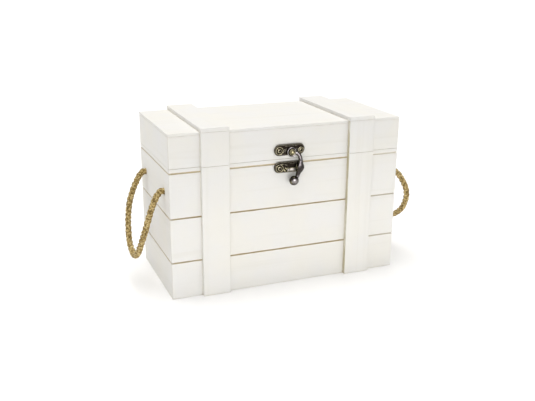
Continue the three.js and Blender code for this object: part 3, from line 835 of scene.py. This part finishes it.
def horn(x, face, z):
    """A half-round bar along X, with a collar at its left end and a rounded tip."""
    stations = (
        (0, 1.5, 0.9), (0.25, 2.4, 1.9), (0.8, 2.75, 2.4), (1.5, 2.85, 2.5),
        (2.1, 2.5, 2.1), (2.6, 2.4, 1.95), (4.2, 2.55, 2.1), (6.2, 2.7, 2.2),
        (8.2, 2.6, 2.1), (9.4, 2.2, 1.8), (10.1, 1.5, 1.25), (10.4, 0.6, 0.5),
    )
    sides = 28
    vertices, finish = [], []
    for along, half_height, rise in stations:
        for j in range(sides):
            a = 2 * math.pi * j / sides
            out = max(math.sin(a), -0.15)
            vertices.append((x + along * MM, face - out * rise * MM, z + half_height * math.cos(a) * MM))
            # The horn's front crest goes towards pewter grey: polish, and partly a painted highlight.
            finish.append(max(out, 0) ** 0.8 * HORN_TOP)
    return vertices, flipped(tube_faces(len(stations), sides)), finish


# A plate screw's head, in mm, and the size of each bar that cuts its cross recess.
HEAD_RADIUS = 2.1
CROSS_BAR = (2.9 * MM, 1 * MM, 0.5 * MM, 1)


def make_plate_screw(node, body, material):
    """A pan-headed screw with a cross recess."""
    low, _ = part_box(node)
    middle = middle_of(node)
    seat = (middle.x, low.y + 1.0 * MM, middle.z)
    steps = [(1.0, -5.5, 0), (1.0, 0, 0), (2.05, 0, 0), (HEAD_RADIUS, 0.2, 0.3)]
    for a, worn in ((0.3, 1.2), (0.5, 2.6), (0.7, 2.6), (0.85, 1.0)):
        steps.append((HEAD_RADIUS * math.cos(a), 0.15 + 0.75 * math.sin(a), worn))
    steps += [(1.25, 0.5, 0), (1.15, 0.1, 0), (0.8, -0.1, 0), (0.3, -0.2, 0), (0.02, -0.22, 0)]
    piece = joined(f"{node}_head", [lathe_out(seat, steps, 28)], material, body, node)
    shape = bmesh.new()
    for turn in (0.5, 0.5 + math.pi / 2):
        place = Matrix.Translation((middle.x, low.y + 0.7 * MM, middle.z)) @ Matrix.Rotation(turn, 4, "Y")
        bar = bmesh.ops.create_cube(shape, size=1)
        bmesh.ops.transform(shape, matrix=place @ Matrix.Diagonal(CROSS_BAR), verts=bar["verts"])
    cutter_mesh = bpy.data.meshes.new("cross")
    shape.to_mesh(cutter_mesh)
    shape.free()
    cutter = bpy.data.objects.new("cutter", cutter_mesh)
    bpy.context.collection.objects.link(cutter)
    cut = piece.modifiers.new("cut", "BOOLEAN")
    cut.operation = "DIFFERENCE"
    cut.solver = "EXACT"
    cut.use_self = True
    cut.object = cutter
    apply_modifiers(piece)
    bpy.data.objects.remove(cutter)


def apply_modifiers(piece):
    """Makes a piece's modified shape its own mesh."""
    bpy.context.view_layer.update()
    depsgraph = bpy.context.evaluated_depsgraph_get()
    piece.data = bpy.data.meshes.new_from_object(piece.evaluated_get(depsgraph))
    piece.modifiers.clear()
    for polygon in piece.data.polygons:
        polygon.use_smooth = True


# The arm from its eye to the knob. Each row is how far it is across and up from the pivot and its
# half width, in mm, and how much of its bow it has there.
ARM_ROUTE = (
    (0, 0, 1.5, 0), (3.0, -0.3, 2.3, 0), (5.6, -1.5, 2.1, 0.2), (7.6, -3.6, 1.95, 0.6),
    (8.6, -6.4, 2.0, 0.95), (8.9, -9.2, 2.3, 1), (8.8, -12.0, 3.0, 1), (8.8, -14.4, 3.9, 1),
    (8.8, -16.4, 4.2, 1), (8.1, -18.6, 3.6, 1), (7.1, -20.6, 2.8, 1), (6.2, -22.8, 2.4, 1),
    (5.4, -25.3, 2.2, 1), (3.9, -27.4, 2.2, 1),
)
ARM_BOW = 2.1
ARM_VOXEL = 0.2 * MM
KNOB_RADIUS = 4.85
KNOB_HALF_DEPTH = 4.2


def make_arm(material):
    """The swinging arm: a round-backed casting from its eye, past the horn, to the knob at its end."""
    low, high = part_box("latch_arm")
    rivet = middle_of("latch_rivet")
    back = high.y
    spine = [
        (rivet.x + across * MM, back - (bowed * ARM_BOW + 1.3) * MM, rivet.z + up * MM)
        for across, up, _, bowed in ARM_ROUTE
    ]
    line = smooth_line(spine, 0.4 * MM)
    given = np.concatenate([[0], np.cumsum(np.linalg.norm(np.diff(spine, axis=0), axis=1))])
    along = np.linspace(0, given[-1], len(line))
    half = np.interp(along, given, [width for _, _, width, _ in ARM_ROUTE]) * MM
    forward = unit(np.gradient(line, axis=0))
    outward = np.array([0.0, -1.0, 0.0])
    side = unit(np.cross(forward, outward))
    sides = 24
    vertices = []
    for point, across, wide in zip(line, side, half):
        thick = min(1.25 * MM, wide * 0.7)
        front = 1.75 * MM + 0.25 * max(wide - 2 * MM, 0)
        for j in range(sides):
            a = 2 * math.pi * j / sides
            rise = math.sin(a) * (front if math.sin(a) > 0 else thick)
            vertices.append(point + across * wide * math.cos(a) + outward * rise)
    shells = [(vertices, tube_faces(len(line), sides), METAL_SMOOTH)]
    eye = (rivet.x, back, rivet.z)
    washer = (
        (4.9, 0.05, 1), (5.1, 0.4, 1), (5.15, 1.3, 1), (5.0, 1.9, 1), (4.6, 2.25, 1),
        (4.1, 2.15, 1), (3.75, 1.7, 1), (3.5, 1.5, 1), (0.1, 1.45, 1),
    )
    shells.append(lathe_out(eye, washer))
    knob = (rivet.x + 1.7 * MM, low.y + KNOB_HALF_DEPTH * MM, low.z + KNOB_RADIUS * MM)
    ball = []
    for a in np.linspace(-1.55, 1.55, 20):
        ball.append((1.02 * KNOB_RADIUS * math.cos(a), 1.02 * KNOB_HALF_DEPTH * math.sin(a), 1))
    shells.append(lathe_out(knob, ball))
    arm = joined("latch_arm_cast", shells, material, "latch_arm", "latch_arm")
    remesh = arm.modifiers.new("remesh", "REMESH")
    remesh.mode = "VOXEL"
    remesh.voxel_size = ARM_VOXEL
    relax = arm.modifiers.new("relax", "SMOOTH")
    relax.factor = 0.5
    relax.iterations = 5
    apply_modifiers(arm)


def make_rivet(material):
    """The domed rivet in a turned collar, in the arm's eye."""
    low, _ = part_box("latch_rivet")
    rivet = middle_of("latch_rivet")
    seat = (rivet.x, low.y + 2.2 * MM, rivet.z)
    steps = [
        (1.5, -4.6, 0), (1.5, 0.05, 0), (3.2, 0.05, 0.2), (3.3, 0.35, 1.6), (3.05, 0.65, 2),
        (2.7, 0.6, 1.2), (2.5, 0.45, 0), (2.25, 0.5, 0.1),
    ]
    for a in np.linspace(0.15, 1.5, 8):
        steps.append((2.1 * math.cos(a), 0.55 + 1.6 * math.sin(a), 2))
    joined("latch_rivet_dome", [lathe_out(seat, steps)], material, "lid", "latch_rivet")


def make_latch(material, arm_material):
    screws = {"latch_plate": [], "catch_plate": []}
    for side in ("left", "right"):
        screws["latch_plate"].append(f"latch_screw_{side}")
        screws["catch_plate"].append(f"catch_screw_{side}")
    make_plate("latch_plate", screws["latch_plate"], "lid", latch_plate_scrolls(), material)
    make_plate("catch_plate", screws["catch_plate"], "base", catch_plate_relief(), material)
    for node in screws["latch_plate"]:
        make_plate_screw(node, "lid", material)
    for node in screws["catch_plate"]:
        make_plate_screw(node, "base", material)
    make_arm(arm_material)
    make_rivet(material)


def finish_hinges(material):
    for name, piece in NODES.items():
        if name.startswith("hinge"):
            piece.data.materials[0] = material
            ease_edges(name, LEAF_EASE)


# ---- floor and light ----------------------------------------------------------------------------

WORLD_STRENGTH = 0.385
SUN_STRENGTH = 2.65
SUN_ANGLE = math.radians(60)
SUN_TILT = (math.radians(-9), math.radians(-4), 0)
SUN_COLOUR = (1.0, 0.988, 0.972)
# A low strip of fill in front, and a wide light that only shows as gloss, each as its place, what it
# points at, its size, power and colour.
SOFTBOX_LOW = ((0.02, -0.24, 0.012), (0.02, -0.06, 0.05), (0.6, 0.03), 0.198, (1.0, 0.99, 0.97))
SOFTBOX_SHINE = ((-0.02, -0.66, 0.27), (0, 0, 0.16), (0.5, 0.42), 6.5, (0.97, 0.94, 1.0))
FLOOR_REACH = 12.0
FLOOR_DROP = 0.1 * MM


def make_floor():
    s = Shader("floor")
    place = s.node("TexCoord").outputs["Object"]
    tint = s.mix(s.noise(place, 3, 2), (0.98, 0.98, 0.98, 1), (0.99, 0.99, 0.99, 1))
    material = s.finish(Base_Color=tint, Roughness=0.9, Specular_IOR_Level=0.1)
    reach = FLOOR_REACH
    corners = [(-reach, -reach, 0), (reach, -reach, 0), (reach, reach, 0), (-reach, reach, 0)]
    floor = new_object("floor", corners, [(0, 1, 2, 3)], material, smooth=False)
    floor.location.z = -FLOOR_DROP


def add_softbox(name, place, target, size, power, colour):
    data = bpy.data.lights.new(name, "AREA")
    data.shape = "RECTANGLE"
    data.size, data.size_y = size
    data.energy = power
    data.color = colour
    light = bpy.data.objects.new(name, data)
    light.location = place
    light.rotation_euler = (Vector(target) - Vector(place)).to_track_quat("-Z", "Y").to_euler()
    light.visible_camera = False
    bpy.context.collection.objects.link(light)
    return light


def make_light():
    world = bpy.data.worlds.new("studio")
    world.use_nodes = True
    nodes, links = world.node_tree.nodes, world.node_tree.links
    # The floor's horizon runs into plain white, while the light from the sky is softer.
    seen = nodes.new("ShaderNodeLightPath").outputs["Is Camera Ray"]
    strength = nodes.new("ShaderNodeMapRange")
    strength.inputs["To Min"].default_value = WORLD_STRENGTH
    links.new(seen, strength.inputs["Value"])
    links.new(strength.outputs["Result"], nodes["Background"].inputs["Strength"])
    nodes["Background"].inputs["Color"].default_value = (1.0, 1.0, 1.0, 1)
    bpy.context.scene.world = world
    sun = bpy.data.lights.new("overhead", "SUN")
    sun.energy = SUN_STRENGTH
    sun.angle = SUN_ANGLE
    sun.color = SUN_COLOUR
    overhead = bpy.data.objects.new("overhead", sun)
    overhead.rotation_euler = SUN_TILT
    bpy.context.collection.objects.link(overhead)
    add_softbox("softbox_low", *SOFTBOX_LOW)
    shine = add_softbox("softbox_shine", *SOFTBOX_SHINE)
    shine.visible_diffuse = False


bpy.context.scene.view_settings.view_transform = "Standard"

make_camera()
make_ropes(jute("jute"))
finish_wood()
make_latch(bronze("bronze_cast", cast=True), rounded_bronze("bronze_arm"))
finish_hinges(bronze("bronze_hinge", cast=False))
make_floor()
make_light()
